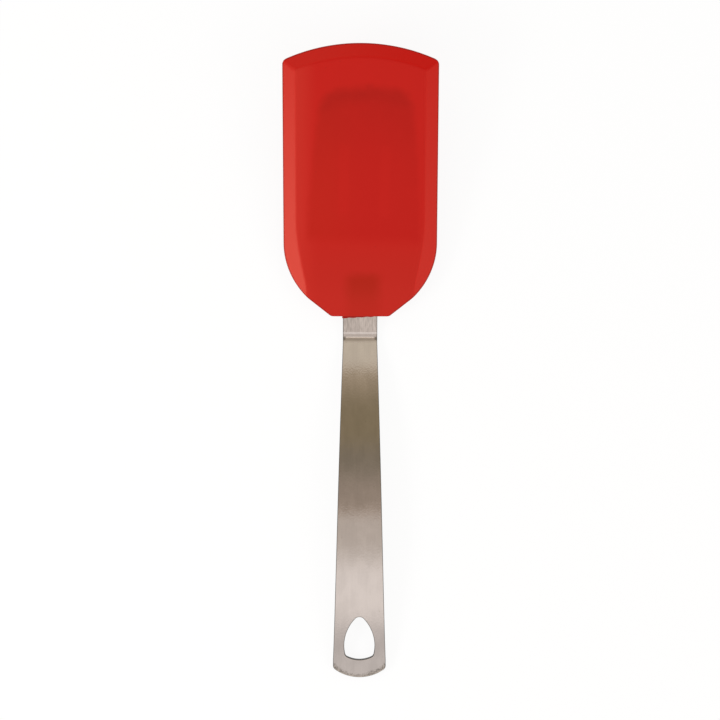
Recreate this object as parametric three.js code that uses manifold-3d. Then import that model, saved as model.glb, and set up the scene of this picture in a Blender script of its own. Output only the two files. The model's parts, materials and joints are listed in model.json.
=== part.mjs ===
// A silicone turner lying at rest on a table.
//
// The handle is one bent steel strip. Its tang is riveted to a thin spring-steel core, and the blade
// is one silicone moulding round tang, rivets and core. Nothing on it moves.
//
// Millimetres, +Z up. The pieces are drawn in the blade's own frame: the underside lies in z = 0, y = 0
// is the neck end of the moulding, the blade runs to its front edge along +Y and the handle to its end
// along -Y. That frame is then tipped back until the turner rests on the neck end of its underside and
// on the end of its handle, as it does when it is laid down.

import * as THREE from 'three';
import { mergeVertices } from 'three/addons/utils/BufferGeometryUtils.js';
import Module from 'manifold-3d';

// Blade, seen from above
const bladeLength = 133.7;
const bladeWidth = 76;
const frontEdgeRadius = 91;
const frontCornerRadius = 3.2;
const shoulderRadius = 35.4;
const shoulderSweep = THREE.MathUtils.degToRad(51.5);
const neckCover = 5.8; // silicone on each side of the strip at the neck end

// Blade, in thickness
const edgeThickness = 1.0;
const edgeBevelWidth = 6.6;
const coreSkin = 1.4; // silicone over the core
const tangSkin = 1.5; // silicone over the tang
const rivetSkin = 0.7; // silicone under the rivets
const rampHead = 14; // from the neck end to the top of the ramp
const rampLength = 33; // from there down to the flat of the blade
const rampEase = 11; // from its foot to where its top slope, carried on, would meet the flat

// Steel strip of the handle
const stripThickness = 2.0;
const stripNeckWidth = 17.1;
const tangLength = 21.5; // inside the moulding
const tangCornerRadius = 3;
const neckFlat = 9.8; // bare strip between the moulding and the bend
const bendAngle = THREE.MathUtils.degToRad(25.5);
const bendRadius = 7.5; // inside the bend
const archRadius = 380; // middle of the strip
const handleReach = 176.3; // from the neck end to the end of the handle, along the blade
const handleEndWidth = 26.2;
const handleEndRadius = 20.1;
const handleEndCorner = 2.5;
const handleEndStraight = 1.5; // parallel sides before the end's corners
const neckFlare = 2.45; // how far each side leaves the neck's width ...
const neckFlareReach = 70; // ... over this length
const endFlare = 1.25; // and how far it still has to spread ...
const endFlareReach = 32; // ... over this last length

// Hanging hole, a triangle with bowed sides and round corners
const holeWidth = 15.1;
const holeWall = 9.2; // steel between the hole and the end of the handle
const holeWidestFromBase = 7.2;
const holeSideRadius = 20.5;
const holeBaseRadius = 13;
const holeTipRadius = 2.9;
const holeCornerRadius = 2.1;

// Spring-steel core inside the blade
const coreThickness = 0.5;
const coreFrontMargin = 21.1; // from its front to the blade's front edge
const coreShoulderGap = 16.5; // from the tang's end to its wide part
const coreSideMargin = 10.1; // from its widest place to the blade's side
const coreTaper = 3.2; // how much narrower each side is at the front
const coreFrontRadius = 75;
const coreFrontCorner = 16;
const coreRearCorner = 5;
const coreTailWidth = 15;
const coreTailGap = 4; // from the tail's end to the neck end
const coreFillet = 4;
const slotWidth = 5;
const slotSpacing = 20;
const slotRearMargin = 11;
const slotFrontMargin = 28;

// Rivets through tang and core
const rivetSpacing = 8.5;
const rivetFromTangEnd = 5;
const rivetShank = 3.0;
const rivetHead = 5.5;
const rivetTail = 5.5;
const rivetTailHeight = 0.5;

// Fits and drawing
const clearance = 0.3; // between neighbouring pieces
const overrun = 2; // how far a cutting shape runs past what it cuts
const arcSteps = 6; // half the straight steps in each arc
const roundSides = 20; // sides of a rivet

// Levels above the underside
const rivetTailBottom = rivetSkin + clearance;
const rivetTailTop = rivetTailBottom + rivetTailHeight;
const coreBottom = rivetTailTop + clearance;
const coreTop = coreBottom + coreThickness;
const tangBottom = coreTop + clearance;
const tangTop = tangBottom + stripThickness;
const bodyThickness = coreTop + clearance + coreSkin;
const neckThickness = tangTop + clearance + tangSkin;

// Places along the blade
const rampFoot = rampHead + rampLength;
const coreShoulder = tangLength + coreShoulderGap;
const coreFront = bladeLength - coreFrontMargin;
const rivetPlace = tangLength - rivetFromTangEnd;

const silicone = new THREE.MeshStandardMaterial({ color: 0xc12a22, roughness: 0.5, metalness: 0 });
const brushedSteel = new THREE.MeshStandardMaterial({ color: 0xb8aea4, roughness: 0.35, metalness: 1 });
const springSteel = new THREE.MeshStandardMaterial({ color: 0x8f8c88, roughness: 0.45, metalness: 1 });

// Solids

const wasm = await Module();
wasm.setup();

function solidOf(geometry) {
  geometry.deleteAttribute('normal');
  geometry.deleteAttribute('uv');
  const merged = mergeVertices(geometry);
  const mesh = new wasm.Mesh({
    numProp: 3,
    vertProperties: merged.attributes.position.array,
    triVerts: new Uint32Array(merged.index.array),
  });
  return new wasm.Manifold(mesh);
}

function meshOf(name, solid, material) {
  const { vertProperties, triVerts } = solid.getMesh();
  const indexed = new THREE.BufferGeometry();
  indexed.setAttribute('position', new THREE.BufferAttribute(vertProperties, 3));
  indexed.setIndex(new THREE.BufferAttribute(triVerts, 1));
  const geometry = indexed.toNonIndexed();
  geometry.computeVertexNormals();
  const mesh = new THREE.Mesh(geometry, material);
  mesh.name = name;
  return mesh;
}

// A plan outline in (x, y), from one level up to another.
function plate(outline, bottom, top) {
  const options = { depth: top - bottom, bevelEnabled: false, curveSegments: arcSteps };
  return solidOf(new THREE.ExtrudeGeometry(outline, options).translate(0, 0, bottom));
}

// A side profile in (y, z), carried across the width.
function acrossWidth(profile, width) {
  const options = { depth: width, bevelEnabled: false, curveSegments: arcSteps };
  const sideways = new THREE.Matrix4().makeBasis(
    new THREE.Vector3(0, 1, 0),
    new THREE.Vector3(0, 0, 1),
    new THREE.Vector3(1, 0, 0),
  );
  const geometry = new THREE.ExtrudeGeometry(profile, options);
  return solidOf(geometry.applyMatrix4(sideways).translate(-width / 2, 0, 0));
}

// A section of [radius, z] pairs, from the bottom of the axis to its top, turned about an upright axis.
function turned(section, x, y) {
  const points = section.map(([radius, z]) => new THREE.Vector2(radius, z));
  const geometry = new THREE.LatheGeometry(points, roundSides);
  return solidOf(geometry.rotateX(Math.PI / 2).translate(x, y, 0));
}

// Ends an outline, from its right side round to its left, with a bowed end and two round corners.
function addBowedEnd(outline, halfWidth, apex, endRadius, cornerRadius) {
  const endCentre = apex - endRadius;
  const cornerX = halfWidth - cornerRadius;
  const cornerY = endCentre + Math.sqrt((endRadius - cornerRadius) ** 2 - cornerX ** 2);
  const turn = Math.atan2(cornerY - endCentre, cornerX);
  outline.absarc(cornerX, cornerY, cornerRadius, 0, turn, false);
  outline.absarc(0, endCentre, endRadius, turn, Math.PI - turn, false);
  outline.absarc(-cornerX, cornerY, cornerRadius, Math.PI - turn, Math.PI, false);
}

// Handle

// Middle of the arch, from the tangent where the bend hands over to it.
const bendCentre = new THREE.Vector2(-neckFlat, tangTop + bendRadius);
const towardsArch = new THREE.Vector2(-Math.sin(bendAngle), -Math.cos(bendAngle));
const archCentre = bendCentre.clone().addScaledVector(towardsArch, bendRadius + archRadius + stripThickness / 2);
const archTop = archRadius + stripThickness / 2;
const archBottom = archRadius - stripThickness / 2;

function handleSideProfile() {
  const down = -Math.PI / 2;
  const archStart = Math.PI / 2 - bendAngle;
  const archEnd = Math.acos((-archCentre.x - handleReach - overrun) / archTop);
  const profile = new THREE.Shape();
  profile.moveTo(tangLength + overrun, tangBottom);
  profile.lineTo(tangLength + overrun, tangTop);
  profile.absarc(bendCentre.x, bendCentre.y, bendRadius, down, down - bendAngle, true);
  profile.absarc(archCentre.x, archCentre.y, archTop, archStart, archEnd, false);
  profile.absarc(archCentre.x, archCentre.y, archBottom, archEnd, archStart, true);
  profile.absarc(bendCentre.x, bendCentre.y, bendRadius + stripThickness, down - bendAngle, down, false);
  profile.closePath();
  return profile;
}

// Plan of the strip with the end of the handle along +Y, tang below.
function handleOutline() {
  const neck = stripNeckWidth / 2;
  const end = handleEndWidth / 2;
  const sideStart = neckFlat + (bendRadius + stripThickness) * Math.sin(bendAngle);
  const endBow = handleEndRadius - Math.sqrt(handleEndRadius ** 2 - end ** 2);
  const sideEnd = handleReach - endBow - handleEndCorner - handleEndStraight;
  const tangCorner = tangCornerRadius - tangLength;
  const outline = new THREE.Shape();
  outline.absarc(neck - tangCornerRadius, tangCorner, tangCornerRadius, -Math.PI / 2, 0, false);
  outline.lineTo(neck, sideStart);
  outline.bezierCurveTo(
    neck + neckFlare, sideStart + neckFlareReach,
    end - endFlare, sideEnd - endFlareReach,
    end, sideEnd,
  );
  addBowedEnd(outline, end, handleReach, handleEndRadius, handleEndCorner);
  outline.lineTo(-end, sideEnd);
  outline.bezierCurveTo(
    endFlare - end, sideEnd - endFlareReach,
    -neck - neckFlare, sideStart + neckFlareReach,
    -neck, sideStart,
  );
  outline.absarc(tangCornerRadius - neck, tangCorner, tangCornerRadius, Math.PI, Math.PI * 1.5, false);
  outline.closePath();
  return outline;
}

// Hole in the same plan: two bowed sides, a bowed base, and a round between each two.
function hangingHole() {
  const base = handleReach - holeWall;
  const widest = base - holeWidestFromBase;
  const sideX = holeSideRadius - holeWidth / 2;
  const tipY = widest - Math.sqrt((holeSideRadius - holeTipRadius) ** 2 - sideX ** 2);
  const tipTurn = Math.atan2(tipY - widest, sideX);
  const baseY = base - holeBaseRadius;

  // The right corner's middle keeps its distance from the middles of the right side and of the base.
  const fromSide = holeSideRadius - holeCornerRadius;
  const fromBase = holeBaseRadius - holeCornerRadius;
  const span = Math.hypot(sideX, baseY - widest);
  const along = (span ** 2 + fromSide ** 2 - fromBase ** 2) / (2 * span);
  const lean = Math.atan2(baseY - widest, sideX) + Math.acos(along / fromSide);
  const cornerX = fromSide * Math.cos(lean) - sideX;
  const cornerY = fromSide * Math.sin(lean) + widest;
  const baseTurn = Math.atan2(cornerY - baseY, cornerX);

  const hole = new THREE.Shape();
  hole.absarc(-sideX, widest, holeSideRadius, tipTurn, lean, false);
  hole.absarc(cornerX, cornerY, holeCornerRadius, lean, baseTurn, false);
  hole.absarc(0, baseY, holeBaseRadius, baseTurn, Math.PI - baseTurn, false);
  hole.absarc(-cornerX, cornerY, holeCornerRadius, Math.PI - baseTurn, Math.PI - lean, false);
  hole.absarc(sideX, widest, holeSideRadius, Math.PI - lean, Math.PI - tipTurn, false);
  hole.absarc(0, tipY, holeTipRadius, -Math.PI - tipTurn, tipTurn, false);
  return hole;
}

function handle() {
  const top = archCentre.y + archTop + overrun;
  const width = Math.max(handleEndWidth, stripNeckWidth) + 2 * overrun;
  const strip = acrossWidth(handleSideProfile(), width);
  const plan = plate(handleOutline(), 0, top).rotate([0, 0, 180]);
  const hole = plate(hangingHole(), 0, top).rotate([0, 0, 180]);
  const blank = strip.intersect(plan).subtract(hole);
  return rivetPlaces.reduce((solid, x) => solid.subtract(rivetHole(x)), blank);
}

// Core

function slotPath(x, grow) {
  const half = slotWidth / 2 + grow;
  const slot = new THREE.Path();
  slot.absarc(x, coreShoulder + slotRearMargin + slotWidth / 2, half, -Math.PI, 0, false);
  slot.absarc(x, coreFront - slotFrontMargin - slotWidth / 2, half, 0, Math.PI, false);
  slot.closePath();
  return slot;
}

// Plan of the core, or of the room for it when it is grown by a clearance.
function coreOutline(grow) {
  const tail = coreTailWidth / 2 + grow;
  const rear = bladeWidth / 2 - coreSideMargin + grow;
  const shoulder = coreShoulder - grow;
  const fillet = coreFillet - grow;
  const corner = coreRearCorner + grow;
  const outline = new THREE.Shape();
  outline.moveTo(-tail, coreTailGap - grow);
  outline.lineTo(tail, coreTailGap - grow);
  outline.absarc(tail + fillet, shoulder - fillet, fillet, Math.PI, Math.PI / 2, true);
  outline.absarc(rear - corner, shoulder + corner, corner, -Math.PI / 2, 0, false);
  addBowedEnd(outline, rear - coreTaper, coreFront + grow, coreFrontRadius + grow, coreFrontCorner + grow);
  outline.absarc(corner - rear, shoulder + corner, corner, Math.PI, Math.PI * 1.5, false);
  outline.absarc(-tail - fillet, shoulder - fillet, fillet, Math.PI / 2, 0, true);
  outline.closePath();
  outline.holes = slotPlaces.map((x) => slotPath(x, -grow));
  return outline;
}

function bladeCore() {
  const sheet = plate(coreOutline(0), coreBottom, coreTop);
  return rivetPlaces.reduce((solid, x) => solid.subtract(rivetHole(x)), sheet);
}

// Rivets: a head countersunk in the top of the tang, a shank, and a flat tail set under the core

const shankRadius = rivetShank / 2;
const headRadius = rivetHead / 2;
const tailRadius = rivetTail / 2;
const headBottom = tangTop - (headRadius - shankRadius);
const rivetPlaces = [-rivetSpacing / 2, rivetSpacing / 2];
const slotPlaces = [-slotSpacing / 2, slotSpacing / 2];

function rivet(x) {
  const section = [
    [0, rivetTailBottom],
    [tailRadius, rivetTailBottom],
    [tailRadius, rivetTailTop],
    [shankRadius, rivetTailTop],
    [shankRadius, headBottom],
    [headRadius, tangTop],
    [0, tangTop],
  ];
  return turned(section, x, rivetPlace);
}

function rivetHole(x) {
  const section = [
    [0, rivetTailBottom],
    [shankRadius + clearance, rivetTailBottom],
    [shankRadius + clearance, headBottom],
    [headRadius + clearance, tangTop],
    [headRadius + clearance, tangTop + overrun],
    [0, tangTop + overrun],
  ];
  return turned(section, x, rivetPlace);
}

function rivetTailRoom(x) {
  const section = [
    [0, rivetTailBottom - clearance],
    [tailRadius + clearance, rivetTailBottom - clearance],
    [tailRadius + clearance, coreTop],
    [0, coreTop],
  ];
  return turned(section, x, rivetPlace);
}

// Silicone blade

const bladeHalf = bladeWidth / 2;
const neckHalf = stripNeckWidth / 2 + neckCover;
const bevelSlope = (bodyThickness - edgeThickness) / edgeBevelWidth;
const cutTop = neckThickness + overrun;

// Each shoulder is an arc off the side, and a straight run from it to the neck's corner.
function bladeOutline() {
  const shoulderX = bladeHalf - shoulderRadius;
  const runX = shoulderX + shoulderRadius * Math.cos(shoulderSweep);
  const runY = (runX - neckHalf) / Math.tan(shoulderSweep);
  const shoulderY = runY + shoulderRadius * Math.sin(shoulderSweep);
  const outline = new THREE.Shape();
  outline.moveTo(-neckHalf, 0);
  outline.lineTo(neckHalf, 0);
  outline.absarc(shoulderX, shoulderY, shoulderRadius, -shoulderSweep, 0, false);
  addBowedEnd(outline, bladeHalf, bladeLength, frontEdgeRadius, frontCornerRadius);
  outline.absarc(-shoulderX, shoulderY, shoulderRadius, Math.PI, Math.PI + shoulderSweep, false);
  outline.closePath();
  return outline;
}

// The mould's hollow for front and side bevels: a mitred frustum that meets the outline at the edge's thickness.
function bevelBody() {
  const inset = (cutTop - edgeThickness) / bevelSlope;
  const side = bladeHalf - inset;
  const frontRadius = frontEdgeRadius - inset;
  const frontCentre = bladeLength - frontEdgeRadius;
  const turn = Math.acos(side / frontRadius);
  const spread = cutTop / bevelSlope;
  const outline = new THREE.Shape();
  outline.moveTo(-side, -spread);
  outline.lineTo(side, -spread);
  outline.absarc(0, frontCentre, frontRadius, turn, Math.PI - turn, false);
  outline.closePath();
  const geometry = new THREE.ExtrudeGeometry(outline, {
    depth: overrun,
    bevelThickness: cutTop,
    bevelSize: spread,
    bevelSegments: 1,
    curveSegments: arcSteps,
  });
  return solidOf(geometry.translate(0, 0, -overrun));
}

// Side view of the blade: flat, then up a hollow ramp to the thick neck.
function bladeSideProfile() {
  const profile = new THREE.Shape();
  profile.moveTo(-overrun, -overrun);
  profile.lineTo(bladeLength + overrun, -overrun);
  profile.lineTo(bladeLength + overrun, bodyThickness);
  profile.lineTo(rampFoot, bodyThickness);
  profile.quadraticCurveTo(rampFoot - rampEase, bodyThickness, rampHead, neckThickness);
  profile.lineTo(-overrun, neckThickness);
  profile.closePath();
  return profile;
}

// The room in the moulding for tang, core and rivets, open at the neck. Webs stay in the core's slots.
function mouldedRoom() {
  const half = stripNeckWidth / 2 + clearance;
  const front = tangLength + clearance;
  const corner = tangCornerRadius + clearance;
  const tang = new THREE.Shape();
  tang.moveTo(-half, -overrun);
  tang.lineTo(half, -overrun);
  tang.absarc(half - corner, front - corner, corner, 0, Math.PI / 2, false);
  tang.absarc(corner - half, front - corner, corner, Math.PI / 2, Math.PI, false);
  tang.closePath();
  const tangRoom = plate(tang, coreTop, tangTop + clearance);
  const coreRoom = plate(coreOutline(clearance), coreBottom - clearance, coreTop + clearance);
  const rivetRooms = rivetPlaces.map(rivetTailRoom);
  return rivetRooms.reduce((solid, room) => solid.add(room), tangRoom.add(coreRoom));
}

function siliconeBlade() {
  const moulding = plate(bladeOutline(), 0, cutTop + overrun)
    .intersect(bevelBody())
    .intersect(acrossWidth(bladeSideProfile(), bladeWidth + 2 * overrun));
  return moulding.subtract(mouldedRoom());
}

// Assembly

const handleMesh = meshOf('handle', handle(), brushedSteel);
const inBladeFrame = new THREE.Group();
inBladeFrame.add(
  handleMesh,
  meshOf('blade_core', bladeCore(), springSteel),
  meshOf('rivet_left', rivet(rivetPlaces[0]), springSteel),
  meshOf('rivet_right', rivet(rivetPlaces[1]), springSteel),
  meshOf('silicone_blade', siliconeBlade(), silicone),
);

// Tipped back about the neck end until the far half of the handle meets the table.
const strip = handleMesh.geometry.attributes.position;
let restTilt = Math.PI / 2;
for (let i = 0; i < strip.count; i += 1) {
  const back = -strip.getY(i);
  if (back > handleReach / 2) restTilt = Math.min(restTilt, Math.atan2(strip.getZ(i), back));
}
inBladeFrame.rotation.x = restTilt;

// Origin on the table, under the middle of the whole turner.
const extent = new THREE.Box3().setFromObject(inBladeFrame, true);
inBladeFrame.position.set(0, -(extent.min.y + extent.max.y) / 2, -extent.min.z);

const turner = new THREE.Group();
turner.add(inBladeFrame);

export default turner;
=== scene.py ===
# A silicone turner on a pale floor: a red moulded blade on a cranked, arched strip of brushed steel.

import json
import math

import bmesh
import bpy
from mathutils import Matrix, Vector


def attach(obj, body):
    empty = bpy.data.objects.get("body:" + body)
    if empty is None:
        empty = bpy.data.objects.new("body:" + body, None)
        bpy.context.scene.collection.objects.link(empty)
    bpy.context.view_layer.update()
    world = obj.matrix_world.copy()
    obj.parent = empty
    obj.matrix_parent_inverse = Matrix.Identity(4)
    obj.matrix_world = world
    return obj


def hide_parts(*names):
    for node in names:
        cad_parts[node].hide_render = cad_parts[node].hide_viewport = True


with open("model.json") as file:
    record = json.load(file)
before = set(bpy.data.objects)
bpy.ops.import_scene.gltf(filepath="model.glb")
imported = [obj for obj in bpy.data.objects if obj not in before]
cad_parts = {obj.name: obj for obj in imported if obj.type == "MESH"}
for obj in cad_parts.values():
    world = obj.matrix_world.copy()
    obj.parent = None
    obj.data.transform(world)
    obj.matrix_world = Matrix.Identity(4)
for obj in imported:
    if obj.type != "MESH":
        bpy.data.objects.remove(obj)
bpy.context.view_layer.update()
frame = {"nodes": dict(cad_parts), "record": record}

# Sizes are in millimetres, in the blade's own frame: its underside lies in z = 0, y = 0 is the neck end
# of the moulding, the blade runs to its front edge along +Y and the handle to its end along -Y.
MM = 0.001

# Blade, seen from above
BLADE_LENGTH = 133.7
BLADE_HALF = 38.0
FRONT_RADIUS = 91.0
FRONT_CORNER = 3.2
SHOULDER_RADIUS = 35.4
SHOULDER_SWEEP = math.radians(51.5)
NECK_HALF = 14.35
NECK_CORNER = 3.0

# Blade, in thickness
EDGE_THICKNESS = 1.0
BEVEL_WIDTH = 6.6
BODY_THICKNESS = 4.0
NECK_THICKNESS = 6.4
RAMP_HEAD = 14.0
RAMP_LENGTH = 33.0
RAMP_EASE = 11.0
RIM_ROUND = 0.4
CREASE_BLEND = 0.33
HEAD_BLEND = 0.6

# Lip of silicone that creeps out along the strip
LIP_SKIN = 0.35
LIP_REACH = 0.7
LIP_LEAN = 0.055
LIP_WAVE = 0.12
LIP_WAVE_LENGTH = 4.3

# Steel strip of the handle
STRIP_THICKNESS = 2.0
STRIP_BOTTOM = 2.6
STRIP_NECK_HALF = 8.55
TANG_LENGTH = 21.5
NECK_FLAT = 9.8
BEND_ANGLE = math.radians(25.5)
BEND_RADIUS = 8.5
ARCH_RADIUS = 380.0
HANDLE_REACH = 176.3
HANDLE_END_HALF = 13.1
HANDLE_END_RADIUS = 20.1
HANDLE_END_CORNER = 2.5
HANDLE_END_STRAIGHT = 1.5
NECK_FLARE = (2.45, 70.0)
END_FLARE = (1.25, 32.0)
STRIP_EDGE = 0.3
STRIP_BORDER = 0.6

# Neck of the strip, pressed a little thinner than the rest, up to a line before the bend
PRESS_DEPTH = 0.06
PRESS_LINE = (7.9, 9.1)

# Hanging hole
HOLE_HALF = 7.55
HOLE_WALL = 9.2
HOLE_WIDEST = 7.2
HOLE_SIDE_RADIUS = 20.5
HOLE_BASE_RADIUS = 13.0
HOLE_TIP_RADIUS = 2.9
HOLE_CORNER_RADIUS = 2.1
HOLE_MIDDLE = 157.3
HOLE_PATCH_START = 137.0

# Steel core inside the blade, as it shows through: it sits a little askew on its rivets
RIVET_PLACE = 16.5
CORE_SHIFT = 1.0
CORE_SKEW = math.radians(1.1)
CORE_HALF = 27.9
CORE_TAPER = 4.2
CORE_REAR = 38.0
CORE_FRONT = 111.8
CORE_FRONT_RADIUS = 60.0
CORE_FRONT_MIDDLE = 2.0
CORE_CORNER = 11.0
SLOT_HALF = 2.5
SLOT_PLACE = 10.0
SLOT_START = 49.0
SLOT_END = 84.6

# How the turner lies: tipped back about the neck end of its underside.
mounts = {mount["name"]: mount for mount in frame["record"]["mounts"]}
underside = mounts["blade_underside"]
rest_tilt = math.asin(underside["axis"][1])
neck_end = underside["pos_m"][1] - underside["pos_m"][2] / math.tan(rest_tilt)
tipped_back = Matrix.Rotation(rest_tilt, 4, "X") @ Matrix.Scale(MM, 4)
as_it_lies = Matrix.Translation((0, neck_end, 0)) @ tipped_back


# Shared shaping helpers

def evenly(start, stop, size):
    """Places from start up to, but not at, stop, about a size apart."""
    count = max(1, round((stop - start) / size))
    return [start + (stop - start) * step / count for step in range(count)]


def soft_min(a, b, blend):
    """The lower of two heights, rounded off where they come within a blend of each other."""
    share = min(max(0.5 + 0.5 * (b - a) / blend, 0), 1)
    return b + (a - b) * share - blend * share * (1 - share)


def fade(value, start, stop):
    """A smooth step from 0 at start to 1 at stop."""
    share = min(max((value - start) / (stop - start), 0), 1)
    return share * share * (3 - 2 * share)


def half_from_arcs(arcs, along):
    """Half-width of an outline made of arcs: each has its last place, its middle and its radius."""
    for last, x, middle, radius in arcs:
        if along <= last:
            return x + math.sqrt(max(radius ** 2 - (along - middle) ** 2, 0))
    return 0


def extrude_edges(bm, edges):
    """Extrudes an edge chain; gives the new edges, and each new vertex with the one it came from."""
    old = {vert for edge in edges for vert in edge.verts}
    made = bmesh.ops.extrude_edge_only(bm, edges=edges)["geom"]
    new_edges = [item for item in made if isinstance(item, bmesh.types.BMEdge)]
    came_from = {}
    for vert in (item for item in made if isinstance(item, bmesh.types.BMVert)):
        came_from[vert] = next(e.other_vert(vert) for e in vert.link_edges if e.other_vert(vert) in old)
    return new_edges, came_from


def finished_piece(name, bm, node, finish):
    """Puts a mesh drawn in the blade's frame where the turner lies, hangs it on the root body and hides the
    CAD part it replaces.
    """
    bmesh.ops.transform(bm, matrix=as_it_lies, verts=bm.verts)
    bmesh.ops.recalc_face_normals(bm, faces=bm.faces)
    for face in bm.faces:
        face.smooth = True
    mesh = bpy.data.meshes.new(name)
    bm.to_mesh(mesh)
    bm.free()
    mesh.materials.append(finish)
    piece = bpy.data.objects.new(name, mesh)
    bpy.context.scene.collection.objects.link(piece)
    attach(piece, "root")
    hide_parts(node)
    return piece


# Silicone blade

SHOULDER_X = BLADE_HALF - SHOULDER_RADIUS
RUN_X = SHOULDER_X + SHOULDER_RADIUS * math.cos(SHOULDER_SWEEP)
RUN_Y = (RUN_X - NECK_HALF) / math.tan(SHOULDER_SWEEP)
SHOULDER_Y = RUN_Y + SHOULDER_RADIUS * math.sin(SHOULDER_SWEEP)
FRONT_CENTRE = BLADE_LENGTH - FRONT_RADIUS
CORNER_REACH = FRONT_RADIUS - FRONT_CORNER
CORNER_X = BLADE_HALF - FRONT_CORNER
CORNER_RISE = math.sqrt(CORNER_REACH ** 2 - CORNER_X ** 2)
CORNER_TURN = math.atan2(CORNER_RISE, CORNER_X)
NECK_CORNER_X = NECK_HALF - NECK_CORNER * math.tan((math.pi / 2 - SHOULDER_SWEEP) / 2)
BEVEL_SLOPE = (BODY_THICKNESS - EDGE_THICKNESS) / BEVEL_WIDTH
RAMP_FOOT = RAMP_HEAD + RAMP_LENGTH
RAMP_HOLLOW = RAMP_LENGTH - 2 * RAMP_EASE


def blade_side(y):
    """Half-width of the blade inside the round of its rim, from the neck end to the front corners."""
    corner = NECK_CORNER - RIM_ROUND
    shoulder = SHOULDER_RADIUS - RIM_ROUND
    if y < NECK_CORNER - corner * math.sin(SHOULDER_SWEEP):
        return NECK_CORNER_X + math.sqrt(max(corner ** 2 - (NECK_CORNER - y) ** 2, 0))
    if y < SHOULDER_Y - shoulder * math.sin(SHOULDER_SWEEP):
        return NECK_HALF + y * math.tan(SHOULDER_SWEEP) - RIM_ROUND / math.cos(SHOULDER_SWEEP)
    if y < SHOULDER_Y:
        return SHOULDER_X + math.sqrt(shoulder ** 2 - (SHOULDER_Y - y) ** 2)
    return BLADE_HALF - RIM_ROUND


def row_half(y):
    """Half-width of the row that crosses the middle of the blade at y, round the front corners too."""
    reach = y - FRONT_CENTRE
    if reach <= math.hypot(BLADE_HALF - RIM_ROUND, CORNER_RISE):
        return blade_side(y)
    corner = FRONT_CORNER - RIM_ROUND
    turn = (reach ** 2 + CORNER_REACH ** 2 - corner ** 2) / (2 * reach * CORNER_REACH)
    return reach * math.cos(CORNER_TURN - math.acos(min(turn, 1)))


def ramp_height(y):
    """Height of the blade along its middle: flat, then up a hollow ramp to the thick neck."""
    climbed = max(RAMP_FOOT - y, 0)
    share = (math.sqrt(RAMP_EASE ** 2 + RAMP_HOLLOW * climbed) - RAMP_EASE) / RAMP_HOLLOW
    ramp = BODY_THICKNESS + (NECK_THICKNESS - BODY_THICKNESS) * share ** 2
    return soft_min(NECK_THICKNESS, ramp, HEAD_BLEND)


def blade_height(x, y):
    """Height of the blade's top, with its side and front bevels."""
    side = EDGE_THICKNESS + BEVEL_SLOPE * (BLADE_HALF - abs(x))
    front = EDGE_THICKNESS + BEVEL_SLOPE * (FRONT_RADIUS - math.hypot(x, y - FRONT_CENTRE))
    return soft_min(soft_min(side, front, CREASE_BLEND), ramp_height(y), CREASE_BLEND)


def blade_rows():
    """Where the rows of the top cross the middle of the blade: closer where its shape turns."""
    neck_end_stop, neck_end_step = 1.0, 0.1
    ramp_stop, ramp_step = RAMP_FOOT + 1.0, 1.0
    flat_stop, flat_step = 122.0, 3.0
    crease_stop, crease_step = BLADE_LENGTH - FRONT_CORNER, 0.5
    front_stop, front_step = BLADE_LENGTH - RIM_ROUND, 0.15
    rows = evenly(RIM_ROUND, neck_end_stop, neck_end_step)
    rows += evenly(neck_end_stop, ramp_stop, ramp_step)
    rows += evenly(ramp_stop, flat_stop, flat_step)
    rows += evenly(flat_stop, crease_stop, crease_step)
    return rows + evenly(crease_stop, front_stop, front_step) + [front_stop]


def blade_columns(half, crease):
    """Where the columns of one half of the top lie: closer beside the crease of the bevel."""
    flat_steps = 14
    bevel_steps = 8
    beside_crease = (-0.75, -0.35, 0.0, 0.35, 0.75)
    middle = [crease + place for place in beside_crease]
    flat = evenly(0, middle[0], middle[0] / flat_steps)
    bevel = evenly(middle[-1], half, (half - middle[-1]) / bevel_steps)
    return flat + middle + bevel[1:] + [half]


def plan_outward(border):
    """For each vertex on an open border, the way out of the sheet, seen from above."""
    ways = {}
    for vert in border:
        way = Vector((0, 0, 0))
        for edge in (edge for edge in vert.link_edges if edge.is_boundary):
            run = edge.verts[1].co - edge.verts[0].co
            across = Vector((run.y, -run.x, 0)).normalized()
            inside = edge.link_faces[0].calc_center_median() - edge.verts[0].co
            way += across if across.dot(inside) < 0 else -across
        ways[vert] = way.normalized()
    return ways


def blade_top(bm):
    """The top of the blade inside the round of its rim: a grid drawn out to its plan and height."""
    rows = blade_rows()
    bow_start = 70.0
    bow_end = BLADE_LENGTH - 9.0
    least_bevel = 1.6
    spread = []
    for y in rows:
        half = row_half(y)
        crease = BLADE_HALF - (ramp_height(y) - EDGE_THICKNESS) / BEVEL_SLOPE
        spread.append(blade_columns(half, min(crease, half - least_bevel)))
    side_steps = len(spread[0]) - 1
    row_steps = len(rows) - 1
    bmesh.ops.create_grid(bm, x_segments=2 * side_steps, y_segments=row_steps, size=1)
    for vert in bm.verts:
        column = round(vert.co.x * side_steps)
        row = round((vert.co.y + 1) / 2 * row_steps)
        y = rows[row]
        x = math.copysign(spread[row][abs(column)], column)
        reach = max(y - FRONT_CENTRE, abs(x))
        y -= fade(y, bow_start, bow_end) * (reach - math.sqrt(reach ** 2 - x ** 2))
        vert.co = (x, y, blade_height(x, y))


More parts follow.
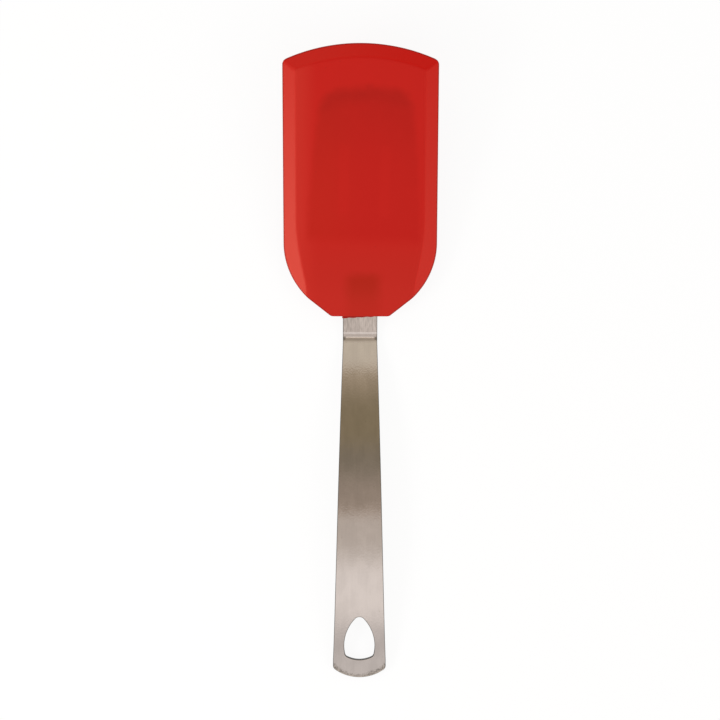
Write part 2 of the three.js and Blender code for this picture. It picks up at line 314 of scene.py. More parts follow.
def round_rim(bm):
    """Rounds the rim over, drops the wall, and rounds it in again to the flat underside."""
    quarter = [math.radians(angle) for angle in (30, 60, 90)]
    edges = [edge for edge in bm.edges if edge.is_boundary]
    start = {vert: vert.co.copy() for edge in edges for vert in edge.verts}
    ways = plan_outward(start)
    origin = {vert: vert for vert in start}
    steps = [(RIM_ROUND * math.sin(turn), None, RIM_ROUND * (1 - math.cos(turn))) for turn in quarter]
    steps.append((RIM_ROUND, RIM_ROUND, 0))
    steps += [(RIM_ROUND * math.cos(turn), RIM_ROUND * (1 - math.sin(turn)), 0) for turn in quarter]
    for out, level, drop in steps:
        edges, came_from = extrude_edges(bm, edges)
        origin = {vert: origin[old] for vert, old in came_from.items()}
        for vert, first in origin.items():
            vert.co = start[first] + ways[first] * out
            vert.co.z = start[first].z - drop if level is None else level
    flat = bmesh.ops.contextual_create(bm, geom=edges)["faces"]
    bmesh.ops.inset_region(bm, faces=flat, thickness=RIM_ROUND, use_even_offset=True)


def neck_lip(bm):
    """Draws a thin, uneven lip of silicone out of the neck's wall, round the strip."""
    on_wall = 0.1
    reach = STRIP_NECK_HALF + LIP_SKIN
    bottom = STRIP_BOTTOM - LIP_SKIN
    top = STRIP_BOTTOM + STRIP_THICKNESS + LIP_SKIN
    cuts = [((0, 0, bottom), (0, 0, 1)), ((0, 0, top), (0, 0, 1))]
    cuts += [((-reach, 0, 0), (1, 0, 0)), ((reach, 0, 0), (1, 0, 0))]
    bm.normal_update()
    for place, way in cuts:
        wall = [face for face in bm.faces if max(abs(vert.co.y) for vert in face.verts) < on_wall]
        edges = {edge for face in wall for edge in face.edges}
        verts = {vert for face in wall for vert in face.verts}
        bmesh.ops.bisect_plane(bm, geom=[*verts, *edges, *wall], dist=MM, plane_co=place, plane_no=way)
    mouth = []
    for face in bm.faces:
        middle = face.calc_center_median()
        upright = max(abs(vert.co.y) for vert in face.verts) < on_wall
        if upright and abs(middle.x) < reach and bottom < middle.z < top:
            mouth.append(face)
    made = bmesh.ops.extrude_face_region(bm, geom=mouth)["geom"]
    bmesh.ops.delete(bm, geom=mouth, context="FACES")
    for vert in (item for item in made if isinstance(item, bmesh.types.BMVert)):
        wave = math.sin(vert.co.x * math.tau / LIP_WAVE_LENGTH)
        vert.co.y -= LIP_REACH - LIP_LEAN * vert.co.x + LIP_WAVE * wave


def silicone_blade(finish):
    """The whole moulding: its top, its rim and underside, and the lip round the strip."""
    bm = bmesh.new()
    blade_top(bm)
    round_rim(bm)
    neck_lip(bm)
    return finished_piece("turner_blade", bm, "silicone_blade", finish)


# Handle

BEND_END = NECK_FLAT + BEND_RADIUS * math.sin(BEND_ANGLE)
ARCH_CENTRE = NECK_FLAT + (BEND_RADIUS + ARCH_RADIUS) * math.sin(BEND_ANGLE)
STRIP_MIDDLE = STRIP_BOTTOM + STRIP_THICKNESS / 2
ARCH_FOOT = STRIP_MIDDLE + BEND_RADIUS - (BEND_RADIUS + ARCH_RADIUS) * math.cos(BEND_ANGLE)
FLARE_START = NECK_FLAT + (BEND_RADIUS + STRIP_THICKNESS / 2) * math.sin(BEND_ANGLE)
END_CENTRE = HANDLE_REACH - HANDLE_END_RADIUS
END_BOW = HANDLE_END_RADIUS - math.sqrt(HANDLE_END_RADIUS ** 2 - HANDLE_END_HALF ** 2)
FLARE_END = HANDLE_REACH - END_BOW - HANDLE_END_CORNER - HANDLE_END_STRAIGHT


def end_arcs():
    """Where the end's corner starts, and the round corner and the bowed end of the handle."""
    corner_x = HANDLE_END_HALF - HANDLE_END_CORNER
    rise = math.sqrt((HANDLE_END_RADIUS - HANDLE_END_CORNER) ** 2 - corner_x ** 2)
    turn = math.atan2(rise, corner_x)
    corner_last = END_CENTRE + rise + HANDLE_END_CORNER * math.sin(turn)
    return END_CENTRE + rise, [
        (corner_last, corner_x, END_CENTRE + rise, HANDLE_END_CORNER),
        (HANDLE_REACH, 0, END_CENTRE, HANDLE_END_RADIUS),
    ]


def hole_arcs():
    """Where the hanging hole starts and ends, and its tip, bowed side, corner and bowed base."""
    base = HANDLE_REACH - HOLE_WALL
    widest = base - HOLE_WIDEST
    side_x = HOLE_SIDE_RADIUS - HOLE_HALF
    tip = widest - math.sqrt((HOLE_SIDE_RADIUS - HOLE_TIP_RADIUS) ** 2 - side_x ** 2)
    tip_turn = math.atan2(tip - widest, side_x)
    base_middle = base - HOLE_BASE_RADIUS
    from_side = HOLE_SIDE_RADIUS - HOLE_CORNER_RADIUS
    from_base = HOLE_BASE_RADIUS - HOLE_CORNER_RADIUS
    span = math.hypot(side_x, base_middle - widest)
    along = (span ** 2 + from_side ** 2 - from_base ** 2) / (2 * span)
    lean = math.atan2(base_middle - widest, side_x) + math.acos(along / from_side)
    corner_x = from_side * math.cos(lean) - side_x
    corner = from_side * math.sin(lean) + widest
    base_turn = math.atan2(corner - base_middle, corner_x)
    return tip - HOLE_TIP_RADIUS, base, [
        (tip + HOLE_TIP_RADIUS * math.sin(tip_turn), 0, tip, HOLE_TIP_RADIUS),
        (corner + HOLE_CORNER_RADIUS * math.sin(lean), -side_x, widest, HOLE_SIDE_RADIUS),
        (corner + HOLE_CORNER_RADIUS * math.sin(base_turn), corner_x, corner, HOLE_CORNER_RADIUS),
        (base, 0, base_middle, HOLE_BASE_RADIUS),
    ]


CORNER_START, END_ARCS = end_arcs()
HOLE_TIP, HOLE_BASE, HOLE_ARCS = hole_arcs()


def flare(share):
    """A point of the strip's side between neck and end: distance along the handle and half-width."""
    neck_wider, neck_pull = NECK_FLARE
    end_narrower, end_pull = END_FLARE
    at_neck = (STRIP_NECK_HALF, STRIP_NECK_HALF + neck_wider)
    at_end = (HANDLE_END_HALF - end_narrower, HANDLE_END_HALF)
    widths = at_neck + at_end
    places = (FLARE_START, FLARE_START + neck_pull, FLARE_END - end_pull, FLARE_END)
    rest = 1 - share
    weights = (rest ** 3, 3 * rest ** 2 * share, 3 * rest * share ** 2, share ** 3)
    along = sum(weight * place for weight, place in zip(weights, places))
    return along, sum(weight * width for weight, width in zip(weights, widths))


def strip_half(along):
    """Half-width of the strip at a distance from the neck end."""
    if along <= FLARE_START:
        return STRIP_NECK_HALF
    if along >= CORNER_START:
        return half_from_arcs(END_ARCS, along)
    if along >= FLARE_END:
        return HANDLE_END_HALF
    low, high = 0.0, 1.0
    halvings = 30
    for _ in range(halvings):
        share = (low + high) / 2
        low, high = (share, high) if flare(share)[0] < along else (low, share)
    return flare(low)[1]


def in_hole(x, along):
    """Whether a point of the flat strip lies in the hanging hole."""
    return HOLE_TIP < along < HOLE_BASE and abs(x) < half_from_arcs(HOLE_ARCS, along)


def in_end_patch(x, along):
    """Whether a point of the flat strip lies in the end of the handle, round the hole."""
    return HOLE_PATCH_START < along < HANDLE_REACH and abs(x) < strip_half(along)


def ray_length(angle, inside):
    """How far a ray from the middle of the hole stays inside an outline."""
    low, high = 0.0, 2 * HANDLE_END_HALF + HOLE_WALL
    halvings = 40
    for _ in range(halvings):
        middle = (low + high) / 2
        still = inside(middle * math.cos(angle), HOLE_MIDDLE + middle * math.sin(angle))
        low, high = (middle, high) if still else (low, middle)
    return low


def patch_angles():
    """Rays round the hole: even steps across the strip, then even turns round the handle's end."""
    across_step = 1.2
    turn_step = math.radians(2)
    half = strip_half(HOLE_PATCH_START)
    inner = half - STRIP_BORDER
    drop = HOLE_PATCH_START - HOLE_MIDDLE
    across = [-half, *evenly(-inner, inner, across_step), inner, half]
    cut = [math.atan2(drop, x) for x in across]
    return cut + evenly(cut[-1], cut[0] + math.tau, turn_step)[1:]


def end_patch(bm):
    """The flat end of the handle, ring by ring out from the hanging hole; gives its cut edges."""
    angles = patch_angles()
    loop = bmesh.ops.create_circle(bm, segments=len(angles), radius=1)["verts"]
    around = sorted(loop, key=lambda vert: math.atan2(vert.co.y, vert.co.x))
    ray = dict(zip(around, angles))
    inner = {angle: ray_length(angle, in_hole) for angle in angles}
    outer = {angle: ray_length(angle, in_end_patch) for angle in angles}
    edges = list(bm.edges)
    rings = 7
    for ring in range(rings + 1):
        if ring:
            edges, came_from = extrude_edges(bm, edges)
            ray = {vert: ray[old] for vert, old in came_from.items()}
        for vert, angle in ray.items():
            inset = inner[angle] + STRIP_BORDER
            border = outer[angle] - STRIP_BORDER
            reach = inset + (border - inset) * (ring - 1) / (rings - 2)
            reach = inner[angle] if ring == 0 else outer[angle] if ring == rings else reach
            vert.co = (reach * math.cos(angle), HOLE_MIDDLE + reach * math.sin(angle), 0)
    at_cut = HOLE_PATCH_START + STRIP_BORDER / 2
    return [edge for edge in edges if max(vert.co.y for vert in edge.verts) < at_cut]


def strip_stations():
    """Where the strip is drawn on, from the end patch to the end of the tang: closer in the bend."""
    bend_start = NECK_FLAT - 3.0
    bend_end = BEND_END + 2.0
    tang_start = -1.0
    arch_step, bend_step, neck_step, tang_step = 3.0, 0.25, 1.5, 5.0
    stations = evenly(bend_end, HOLE_PATCH_START, arch_step)
    stations += evenly(bend_start, bend_end, bend_step)
    stations += evenly(tang_start, bend_start, neck_step)
    stations += evenly(-TANG_LENGTH, tang_start, tang_step)
    return sorted(stations, reverse=True)


def bent(along, height):
    """Takes a point of the flat strip, at a height over its middle, to its place on the bent strip."""
    if along <= NECK_FLAT:
        return along, STRIP_MIDDLE + height
    if along <= BEND_END:
        slope = math.asin((along - NECK_FLAT) / BEND_RADIUS)
        middle = STRIP_MIDDLE + BEND_RADIUS * (1 - math.cos(slope))
    else:
        slope = math.asin((ARCH_CENTRE - along) / ARCH_RADIUS)
        middle = ARCH_FOOT + ARCH_RADIUS * math.cos(slope)
    return along - height * math.sin(slope), middle + height * math.cos(slope)


def mark_cut_edges(bm):
    """Writes on each face how much of it takes the dark sheared-edge colour: all of the wall, and most of
    the broken corner, whose dark line is painted shade.
    """
    wall_below = 0.5
    corner_below = 0.97
    on_wall, on_corner, on_flat = 1.0, 0.8, 0.0
    cut_edge = bm.faces.layers.float.new("cut_edge")
    for face in bm.faces:
        level = abs(face.normal.z)
        face[cut_edge] = on_wall if level < wall_below else on_corner if level < corner_below else on_flat


def steel_handle(finish):
    """The strip, drawn flat from its end to its tang, given its thickness and then bent."""
    square = math.radians(60)
    bm = bmesh.new()
    edges = end_patch(bm)
    for station in strip_stations():
        edges, came_from = extrude_edges(bm, edges)
        for vert, old in came_from.items():
            vert.co = (old.co.x * strip_half(station) / strip_half(old.co.y), station, 0)
    made = bmesh.ops.extrude_face_region(bm, geom=bm.faces[:])["geom"]
    lower = {item for item in made if isinstance(item, bmesh.types.BMVert)}
    for vert in bm.verts:
        vert.co.z = -STRIP_THICKNESS / 2 if vert in lower else STRIP_THICKNESS / 2
    bmesh.ops.recalc_face_normals(bm, faces=bm.faces)
    rims = [edge for edge in bm.edges if edge.calc_face_angle() > square]
    bmesh.ops.bevel(
        bm,
        geom=rims,
        affect="EDGES",
        offset=STRIP_EDGE,
        segments=2,
        profile=0.5,
        material=-1,
        clamp_overlap=True,
    )
    bm.normal_update()
    mark_cut_edges(bm)
    for vert in bm.verts:
        pressed = PRESS_DEPTH * (1 - fade(vert.co.y, *PRESS_LINE)) if vert.co.z > 0 else 0
        along, level = bent(vert.co.y, vert.co.z - pressed)
        vert.co = (vert.co.x, -along, level)
    return finished_piece("turner_handle", bm, "handle", finish)


# Finishes

class Value:
    """A node's output that takes part in sums, which add Math nodes to its finish."""

    def __init__(self, finish, socket):
        self.finish = finish
        self.socket = socket

    def math(self, operation, *inputs):
        return self.finish.node("ShaderNodeMath", {"operation": operation}, dict(enumerate(inputs)))

    def __add__(self, other):
        return self.math("ADD", self, other)

    def __radd__(self, other):
        return self.math("ADD", other, self)

    def __sub__(self, other):
        return self.math("SUBTRACT", self, other)

    def __rsub__(self, other):
        return self.math("SUBTRACT", other, self)

    def __mul__(self, other):
        return self.math("MULTIPLY", self, other)

    def __rmul__(self, other):
        return self.math("MULTIPLY", other, self)

    def __neg__(self):
        return self.math("MULTIPLY", self, -1)

    def __abs__(self):
        return self.math("ABSOLUTE", self)


class Finish:
    """The node tree of one finish."""

    def __init__(self, tree):
        self.tree = tree
        tree.nodes.clear()

    def node(self, kind, settings=None, sockets=None, output=0):
        """Adds a node: its settings first, then the values or links of its sockets; gives one output."""
        made = self.tree.nodes.new(kind)
        for name, value in (settings or {}).items():
            setattr(made, name, value)
        for name, value in (sockets or {}).items():
            if isinstance(value, Value):
                self.tree.links.new(value.socket, made.inputs[name])
            else:
                made.inputs[name].default_value = value
        return Value(self, made.outputs[output] if made.outputs else None)

    def step(self, value, start, stop, low=0.0, high=1.0):
        """A smooth step of a value between two places."""
        settings = {"interpolation_type": "SMOOTHSTEP"}
        sockets = {"Value": value, "From Min": start, "From Max": stop, "To Min": low, "To Max": high}
        return self.node("ShaderNodeMapRange", settings, sockets)

    def band(self, value, middle, half, soft):
        """1 within half a width of a middle, fading to 0 over a soft border."""
        return self.step(abs(value - middle), half - soft / 2, half + soft / 2, 1, 0)

    def mix(self, share, first, second):
        """One colour over another."""
        settings = {"data_type": "RGBA", "clamp_factor": True}
        return self.node("ShaderNodeMix", settings, {0: share, 6: first, 7: second}, output=2)

    def least(self, first, second, blend):
        """The lower of two values, rounded off where they meet."""
        return first.math("SMOOTH_MIN", first, second, blend)

    def reach(self, x, y):
        """How far a point lies from the middle of two axes."""
        return x.math("SQRT", x * x + y * y)

    def mapped(self, place, sockets):
        """A place seen from another frame, given by its location, turn or unit."""
        return self.node("ShaderNodeMapping", {"vector_type": "TEXTURE"}, {"Vector": place, **sockets})

    def noise(self, place, grain, detail):
        """Noise in grains of a given width, length and height."""
        measured = self.mapped(place, {"Scale": grain})
        return self.node("ShaderNodeTexNoise", {}, {"Vector": measured, "Scale": 1.0, "Detail": detail})

    def sway(self, place, grain, detail, reach):
        """Noise that sways by half a reach to either side of 0."""
        return (self.noise(place, (grain,) * 3, detail) - 0.5) * reach

    def specks(self, place, spacing, size):
        """Single specks, about a spacing apart."""
        cells = self.node("ShaderNodeTexVoronoi", {}, {"Vector": place, "Scale": 1 / spacing})
        return self.step(cells, size / spacing / 2, size / spacing, 1, 0)

    def blade_place(self):
        """Where a point of the surface lies in the blade's own frame, in millimetres."""
        lying = self.node("ShaderNodeTexCoord", output="Object")
        tipped = {"Location": (0, neck_end, 0), "Rotation": (rest_tilt, 0, 0), "Scale": (MM,) * 3}
        return self.mapped(lying, tipped)

    def turned(self, place, pivot, turn):
        """The same place in a frame that is turned about an upright axis through a pivot."""
        return self.mapped(place, {"Location": pivot, "Rotation": (0, 0, turn)})

    def axes(self, place):
        """The x, y and z of a place."""
        return [self.node("ShaderNodeSeparateXYZ", {}, {0: place}, output=axis) for axis in range(3)]


def colour(red, green, blue):
    """An opaque colour."""
    return (red, green, blue, 1)


def new_finish(name):
    """A new material, and its node tree to draw in."""
    material = bpy.data.materials.new(name)
    material.use_nodes = True
    return material, Finish(material.node_tree)


def core_shade(finish, place):
    """How much of the steel core shows through the silicone, and how much of its front rim."""
    edge_fade = (-1.8, 2.6)
    edge_sway = 2.4
    sway_grain = 5.0
    sway_detail = 3.0
    front_spread = 1.2
    front_soft = 0.6
    rear_fade = (-4.0, 4.0)
    rim_fade, rim_share = 10.5, 0.55
    spread_fade, spread_share = 42.0, 0.45
    slot_soft = 2.4
    slot_ends = 8.0
    slot_gleam = 0.5
    x, y, _ = finish.axes(finish.turned(place, (CORE_SHIFT, RIVET_PLACE, 0), -CORE_SKEW))
    y = y + RIVET_PLACE
    sway = finish.sway(place, sway_grain, sway_detail, edge_sway)
    front_centre = CORE_FRONT - CORE_FRONT_RADIUS
    front = CORE_FRONT_RADIUS - finish.reach(x - CORE_FRONT_MIDDLE, y - front_centre) + front_spread
    side = CORE_HALF - finish.step(y, CORE_REAR, CORE_FRONT, 0, CORE_TAPER) - abs(x)
    rear = finish.step(y, CORE_REAR + rear_fade[0], CORE_REAR + rear_fade[1])
    inside = finish.least(side, front_soft * front, CORE_CORNER)
    core = finish.step(inside + sway, *edge_fade) * rear
    slot_middle = (SLOT_START + SLOT_END) / 2
    slot_reach = (SLOT_END - SLOT_START) / 2
    slots = finish.band(abs(x), SLOT_PLACE, SLOT_HALF, slot_soft)
    slots = slots * finish.band(y, slot_middle, slot_reach, slot_ends)
    rim = finish.step(front + sway, 0, rim_fade, rim_share, 0)
    spread = finish.step(front, 0, spread_fade, spread_share, 0)
    return core * (1 - slot_gleam * slots), core * (rim + spread)


def tang_shade(finish, place):
    """How much of the tang shows through: most at its end, less towards the neck."""
    middle = 1.5
    side_fade = (4.2, 11.5)
    end_fade = (18.0, 23.6)
    neck_fade = (4.0, 17.0)
    at_neck = 0.42
    edge_sway = 2.4
    sway_grain = 4.0
    sway_detail = 2.0
    x, y, _ = finish.axes(place)
    sway = finish.sway(place, sway_grain, sway_detail, edge_sway)
    side = finish.step(abs(x - middle) + sway, *side_fade, 1, 0)
    end = finish.step(y + sway, *end_fade, 1, 0)
    return side * end * finish.step(y, *neck_fade, at_neck, 1)


def on_bevel(finish, place):
    """1 on the side and front bevels, 0 on the rest of the blade."""
    crease_fade = (0.02, 0.1)
    x, y, z = finish.axes(place)
    side = BLADE_HALF - abs(x)
    front = FRONT_RADIUS - finish.reach(x, y - FRONT_CENTRE)
    bevel = EDGE_THICKNESS + BEVEL_SLOPE * finish.least(side, front, CREASE_BLEND)
    return finish.step(bevel - z, *crease_fade, 1, 0)


def from_rim(finish, place):
    """How far a point lies inside the blade's outline, seen from above; a little further at the neck."""
    turn_blend = 0.5
    neck_shift = 0.4
    x, y, _ = finish.axes(place)
    across = abs(x)
    out = across.math("MAXIMUM", across - SHOULDER_X, 0)
    back = y.math("MAXIMUM", SHOULDER_Y - y, 0)
    side = SHOULDER_RADIUS - finish.reach(out, back)
    run = (NECK_HALF + y * math.tan(SHOULDER_SWEEP) - across) * math.cos(SHOULDER_SWEEP)
    front = FRONT_RADIUS - finish.reach(x, y - FRONT_CENTRE)
    sides = run + finish.step(y, RUN_Y - turn_blend, RUN_Y + turn_blend) * (side - run)
    ends = front.math("MINIMUM", front, y + neck_shift)
    return sides.math("MINIMUM", sides, ends)


def red_silicone():
    """Satin red silicone: paler at the thick neck, painted light on its left side and its thin bevels,
    darker over the steel inside, painted shade along its rim.
    """
    plain = (colour(0.493, 0.0085, 0.0072), colour(0.515, 0.0085, 0.0072))
    # Painted light: a paler, milkier red for the left side, standing in for the sheen of the left lamp.
    left_sheen_red = colour(0.528, 0.0200, 0.0145)
    thick_red = colour(0.488, 0.0150, 0.0110)
    # Painted light: paler reds for the thin bevels, glowing as if light came through them, with more sheen
    # on the left than on the right.
    bevel = (colour(0.528, 0.0110, 0.0085), colour(0.535, 0.0032, 0.0030))
    bevel_light_fade = (-30.0, 30.0)
    left_sheen_fade = (-31.0, -20.0)
    neck_haze = (18.0, 54.0)
    # Darker red over the core, where the steel shows through; its left colour holds painted light, the left
    # lamp's sheen.
    over_core = (colour(0.471, 0.0098, 0.0064), colour(0.471, 0.0070, 0.0062))
    core_light_fade = (-22.0, 4.0)
    over_front = colour(0.384, 0.0062, 0.0050)
    over_tang = colour(0.402, 0.0118, 0.0056)
    # Painted shade: a darker red along the rim and the neck end.
    rim_shade_red = colour(0.300, 0.0070, 0.0050)
    rim_fade = (0.2, 0.9)
    rim_shade_weight = 0.85
    speck = colour(0.30, 0.010, 0.008)
    speck_spacing, speck_size, speck_weight = 7.0, 0.3, 0.6
    mottle_grain, mottle_detail = (7, 7, 7), 4.0
    skin_grain, skin_detail = (0.5, 0.5, 0.5), 3.0
    thin_patch, patch_gain = 0.55, 0.9
    smoothest, rough_gain = 0.33, 0.06
    relief, relief_depth = 0.25, 0.00004
    material, finish = new_finish("satin_red_silicone")
    place = finish.blade_place()
    x, y, _ = finish.axes(place)
    core, front_shade = core_shade(finish, place)
    mottle = finish.noise(place, mottle_grain, mottle_detail)
    skin = finish.noise(place, skin_grain, skin_detail)
    patches = thin_patch + patch_gain * mottle
    red = finish.mix(finish.step(y, *neck_haze, 1, 0), finish.mix(mottle, *plain), thick_red)
    # Painted light: the left side is paler, as if lit by the left lamp.
    red = finish.mix(finish.step(x, *left_sheen_fade, 1, 0), red, left_sheen_red)
    # Painted light on the bevels: a paler glow, with more sheen towards the left.
    red = finish.mix(on_bevel(finish, place), red, finish.mix(finish.step(x, *bevel_light_fade), *bevel))
    # Over the core the steel shows through; the left-to-right change of colour is painted light.
    red = finish.mix(core * patches, red, finish.mix(finish.step(x, *core_light_fade), *over_core))
    red = finish.mix(front_shade * patches, red, over_front)
    red = finish.mix(tang_shade(finish, place), red, over_tang)
    red = finish.mix(finish.specks(place, speck_spacing, speck_size) * speck_weight, red, speck)
    # Painted shade along the rim and the neck end.
    red = finish.mix(finish.step(from_rim(finish, place), *rim_fade, rim_shade_weight, 0), red, rim_shade_red)
    sockets = {"Height": skin, "Strength": relief, "Distance": relief_depth}
    bump = finish.node("ShaderNodeBump", {}, sockets)
    sockets = {
        "Base Color": red,
        "Roughness": smoothest + rough_gain * skin,
        "Normal": bump,
        "Specular IOR Level": 0.5,
        "Specular Tint": colour(1.0, 0.45, 0.30),
        "IOR": 1.41,
    }
    satin = finish.node("ShaderNodeBsdfPrincipled", {}, sockets)
    finish.node("ShaderNodeOutputMaterial", {}, {"Surface": satin})
    return material


def brushed_steel():
    """Brushed stainless strip: a duller ground neck, two lines of burnish, the one along the bend painted
    bright as its highlight, painted shade in the bend, a worn end, dark sheared edges darkened further as
    painted shade.
    """
    brushed = (colour(0.575, 0.521, 0.475), colour(0.705, 0.639, 0.585))
    ground = (colour(0.453, 0.398, 0.355), colour(0.679, 0.605, 0.546))
    # Painted highlight: a near-white line of burnish along the bend.
    burnished_highlight = colour(0.94, 0.86, 0.78)
    # Painted shade in the bend: a dark colour for its side corners and a faint band across it.
    pressed = colour(0.24, 0.22, 0.19)
    speck = colour(0.30, 0.27, 0.24)
    speck_spacing, speck_size, speck_weight = 5.0, 0.3, 0.4
    # Dark sheared edges: rough cut steel, darkened further as painted shade along the walls and broken
    # corners.
    sheared_and_shaded_steel = colour(0.11, 0.105, 0.10)
    worn = (colour(0.29, 0.26, 0.23), colour(0.54, 0.475, 0.41))
    worn_end = (0.8, 2.6)
    worn_sway = 3.0
    worn_by_grit, worn_by_patch = 0.7, 0.3
    ground_stop = (11.2, 12.3)
    ground_calm, calm_share = (8.4, 9.3), 0.25
    ground_scratch, ground_patch = 0.65, 0.35
    dull_stop = (13.0, 13.8)
    line_soft = 0.5
    neck_line, neck_line_weight = (8.7, 0.5), 0.85
    bend_line = (11.05, 0.42)
    bend_line_end = (6.8, 7.2)
    trough_shade, trough_shade_weight = (10.1, 0.45), 0.07
    bend_corner, corner_shade_weight = (11.4, 0.8), 0.7
    bend_corner_start = (7.0, 7.6)
    contrast = (0.35, 0.65)
    streak_fine, streak_broad, streak_patch = 0.35, 0.35, 0.3
    bright, streak_rough, dull_rough, sheared_rough = 0.06, 0.05, 0.26, 0.3
    grit_relief, relief, relief_depth = 1.5, 0.5, 0.00002
    material, finish = new_finish("brushed_stainless")
    place = finish.blade_place()
    x, y, _ = finish.axes(place)
    along = -y
    fine = finish.noise(place, (0.3, 12.0, 60.0), 3.0)
    broad = finish.noise(place, (2.2, 45.0, 60.0), 2.0)
    grit = finish.noise(place, (0.65, 0.85, 60.0), 3.0)
    scratch = finish.step(finish.noise(place, (0.8, 4.0, 60.0), 4.0), *contrast)
    patch = finish.step(finish.noise(place, (5.0, 9.0, 60.0), 2.0), *contrast)
    streak = streak_fine * fine + streak_broad * broad + streak_patch * patch
    bend_highlight_mark = finish.band(along, *bend_line, line_soft) * finish.step(abs(x), *bend_line_end, 1, 0)
    marks = finish.band(along, *neck_line, line_soft) * neck_line_weight + bend_highlight_mark
    plain = 1 - marks
    ground_part = finish.step(along, *ground_stop, 1, 0) * plain
    dull_part = finish.step(along, *dull_stop, 1, 0) * plain
    corner = finish.step(abs(x), *bend_corner_start) * finish.band(along, *bend_corner, line_soft)
    hollow = finish.band(along, *trough_shade, line_soft)
    sheared = finish.node("ShaderNodeAttribute", {"attribute_name": "cut_edge"}, output="Fac")
    steel = finish.mix(streak, *brushed)
    scratched = ground_scratch * scratch + ground_patch * patch - 0.5
    scratched = 0.5 + scratched * finish.step(along, *ground_calm, 1, calm_share)
    steel = finish.mix(ground_part, steel, finish.mix(scratched, *ground))
    # Painted highlight along the bend, on a line of burnish.
    steel = finish.mix(bend_highlight_mark, steel, burnished_highlight)
    # Painted shade in the bend: darker corners at its sides and a faint dark band across it.
    steel = finish.mix(corner * corner_shade_weight + hollow * trough_shade_weight, steel, pressed)
    steel = finish.mix(finish.specks(place, speck_spacing, speck_size) * speck_weight, steel, speck)
    past_middle = along.math("MAXIMUM", along - END_CENTRE, 0)
    from_end = HANDLE_END_RADIUS - finish.reach(x, past_middle)
    sway = worn_sway * (worn_by_grit * grit + worn_by_patch * patch - 0.5)
    worn_part = finish.step(from_end + sway, *worn_end, 1, 0)
    steel = finish.mix(worn_part, steel, finish.mix(finish.step(grit, *contrast), *worn))
    # Sheared edges: rough cut steel with painted shade.
    steel = finish.mix(sheared, steel, sheared_and_shaded_steel)
    sockets = {"Height": fine + grit_relief * grit, "Strength": relief, "Distance": relief_depth}
    bump = finish.node("ShaderNodeBump", {}, sockets)
    sockets = {
        "Base Color": steel,
        "Metallic": 1.0,
        "Roughness": bright + streak_rough * streak + dull_rough * dull_part + sheared_rough * sheared,
        "Normal": bump,
    }
    steel = finish.node("ShaderNodeBsdfPrincipled", {}, sockets)
    finish.node("ShaderNodeOutputMaterial", {}, {"Surface": steel})
    return material


def spring_steel():
    """Rolled, unpolished spring steel of the core and its rivets."""
    greys = (colour(0.33, 0.32, 0.31), colour(0.44, 0.43, 0.42))
    smoothest, rough_gain = 0.36, 0.16
    material, finish = new_finish("rolled_spring_steel")
    rolled = finish.noise(finish.blade_place(), (0.8, 14.0, 14.0), 3.0)
    sockets = {
        "Base Color": finish.mix(rolled, *greys),
        "Metallic": 1.0,
        "Roughness": smoothest + rough_gain * rolled,
    }
    steel = finish.node("ShaderNodeBsdfPrincipled", {}, sockets)
    finish.node("ShaderNodeOutputMaterial", {}, {"Surface": steel})
    return material


def white_floor():
    """A white sheet that looks white to the camera and to the steel, and keeps the turner's shadow."""
    white_share = 0.9
    material, finish = new_finish("white_sheet")
    looked_at = finish.node("ShaderNodeLightPath", output="Is Camera Ray")
    mirrored = finish.node("ShaderNodeLightPath", output="Is Glossy Ray")
    sheet = finish.node("ShaderNodeBsdfDiffuse", {}, {"Color": colour(0.97, 0.97, 0.97)})
    white = finish.node("ShaderNodeEmission", {}, {"Color": colour(1, 1, 1), "Strength": 1.0})
    share = (looked_at + mirrored) * white_share
    surface = finish.node("ShaderNodeMixShader", {}, {0: share, 1: sheet, 2: white})
    finish.node("ShaderNodeOutputMaterial", {}, {"Surface": surface})
    return material


# Studio

# Light of the room: a dim warm ceiling, which turns into another light between two angles forward of
# straight up, in degrees: three steps to the wall in front, the rest to the window and wall behind.
CEILING = (0.305, 0.255, 0.170)
ROOM = (
    (13.0, 21.3, (0.50, 0.42, 0.32)),
    (20.1, 21.4, (0.745, 0.69, 0.60)),
    (28.0, 45.0, (1.10, 1.05, 1.00)),
    (9.0, 4.5, (0.285, 0.25, 0.20)),
    (4.2, -1.5, (0.42, 0.358, 0.308)),
    (-3.8, -5.4, (0.50, 0.412, 0.348)),
    (-4.8, -6.2, (0.685, 0.635, 0.60)),
    (-10.0, -17.5, (1.01, 0.975, 0.98)),
    (-22.5, -29.0, (0.69, 0.665, 0.675)),
    (-29.5, -32.0, (0.75, 0.73, 0.74)),
    (-35.5, -43.0, (1.20, 1.15, 1.10)),
)


def floor(finish):
    """The sheet that the turner lies on, far wider than any view."""
    half = 4.0
    bm = bmesh.new()
    bmesh.ops.create_grid(bm, x_segments=1, y_segments=1, size=half)
    mesh = bpy.data.meshes.new("floor")
    bm.to_mesh(mesh)
    bm.free()
    mesh.materials.append(finish)
    sheet = bpy.data.objects.new("floor", mesh)
    bpy.context.scene.collection.objects.link(sheet)
    return sheet


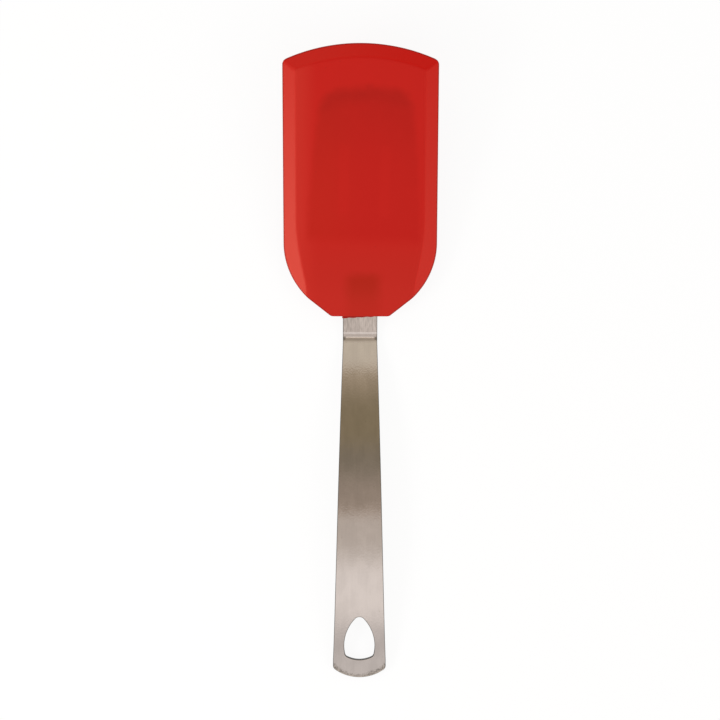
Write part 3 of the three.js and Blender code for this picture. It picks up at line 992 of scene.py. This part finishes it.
def room_light():
    """The room's light, dimmer low down all round; white where the camera sees it."""
    side_fall = (0.75, 1.0)
    side_light = 0.65
    end_fall = (math.radians(60), math.radians(90))
    end_light = 0.5
    world = bpy.data.worlds.new("studio")
    world.use_nodes = True
    bpy.context.scene.world = world
    finish = Finish(world.node_tree)
    x, y, z = finish.axes(finish.node("ShaderNodeTexCoord", output="Generated"))
    forward = y.math("ARCTAN2", y, z)
    light = colour(*CEILING)
    for start, stop, next_light in ROOM:
        share = finish.step(forward, math.radians(start), math.radians(stop))
        light = finish.mix(share, light, colour(*next_light))
    strength = finish.step(abs(x), *side_fall, 1, side_light)
    strength = strength * finish.step(abs(forward), *end_fall, 1, end_light)
    lit = finish.node("ShaderNodeBackground", {}, {"Color": light, "Strength": strength})
    white = finish.node("ShaderNodeBackground", {}, {"Color": colour(1, 1, 1), "Strength": 1.0})
    looked_at = finish.node("ShaderNodeLightPath", output="Is Camera Ray")
    surface = finish.node("ShaderNodeMixShader", {}, {0: looked_at, 1: lit, 2: white})
    finish.node("ShaderNodeOutputWorld", {}, {"Surface": surface})


def soft_box(name, place, size, energy, lit):
    """A soft lamp that looks at the turner, and lights only one collection: bare steel would mirror it."""
    box = bpy.data.lights.new(name, "AREA")
    box.shape = "RECTANGLE"
    box.size, box.size_y = size
    box.energy = energy
    lamp = bpy.data.objects.new(name, box)
    lamp.location = place
    lamp.light_linking.receiver_collection = lit
    lamp.rotation_euler = (-lamp.location).to_track_quat("-Z", "Y").to_euler()
    bpy.context.scene.collection.objects.link(lamp)


def overhead_camera():
    """Straight above the handle's neck, looking down, turned by a hair."""
    behind_neck = 0.023
    height = 0.9
    roll = math.radians(0.13)
    camera = bpy.data.cameras.new("overhead")
    camera.lens = 90
    camera.sensor_width = 36
    eye = bpy.data.objects.new("overhead", camera)
    eye.location = (0, neck_end - behind_neck, height)
    eye.rotation_euler = (0, 0, roll)
    bpy.context.scene.collection.objects.link(eye)
    bpy.context.scene.camera = eye


# Assembly

blade = silicone_blade(red_silicone())
steel_handle(brushed_steel())
hidden_steel = spring_steel()
for node in ("blade_core", "rivet_left", "rivet_right"):
    frame["nodes"][node].material_slots[0].material = hidden_steel
sheet = floor(white_floor())
room_light()
lit = bpy.data.collections.new("lit_by_soft_boxes")
for piece in (blade, sheet):
    lit.objects.link(piece)
soft_box("left_soft_box", place=(-0.595, -0.20, 0.42), size=(0.3, 0.2), energy=2.0, lit=lit)
soft_box("right_soft_box", place=(0.82, -0.30, 0.63), size=(0.4, 0.4), energy=1.6, lit=lit)
overhead_camera()
bpy.context.scene.view_settings.view_transform = "Standard"
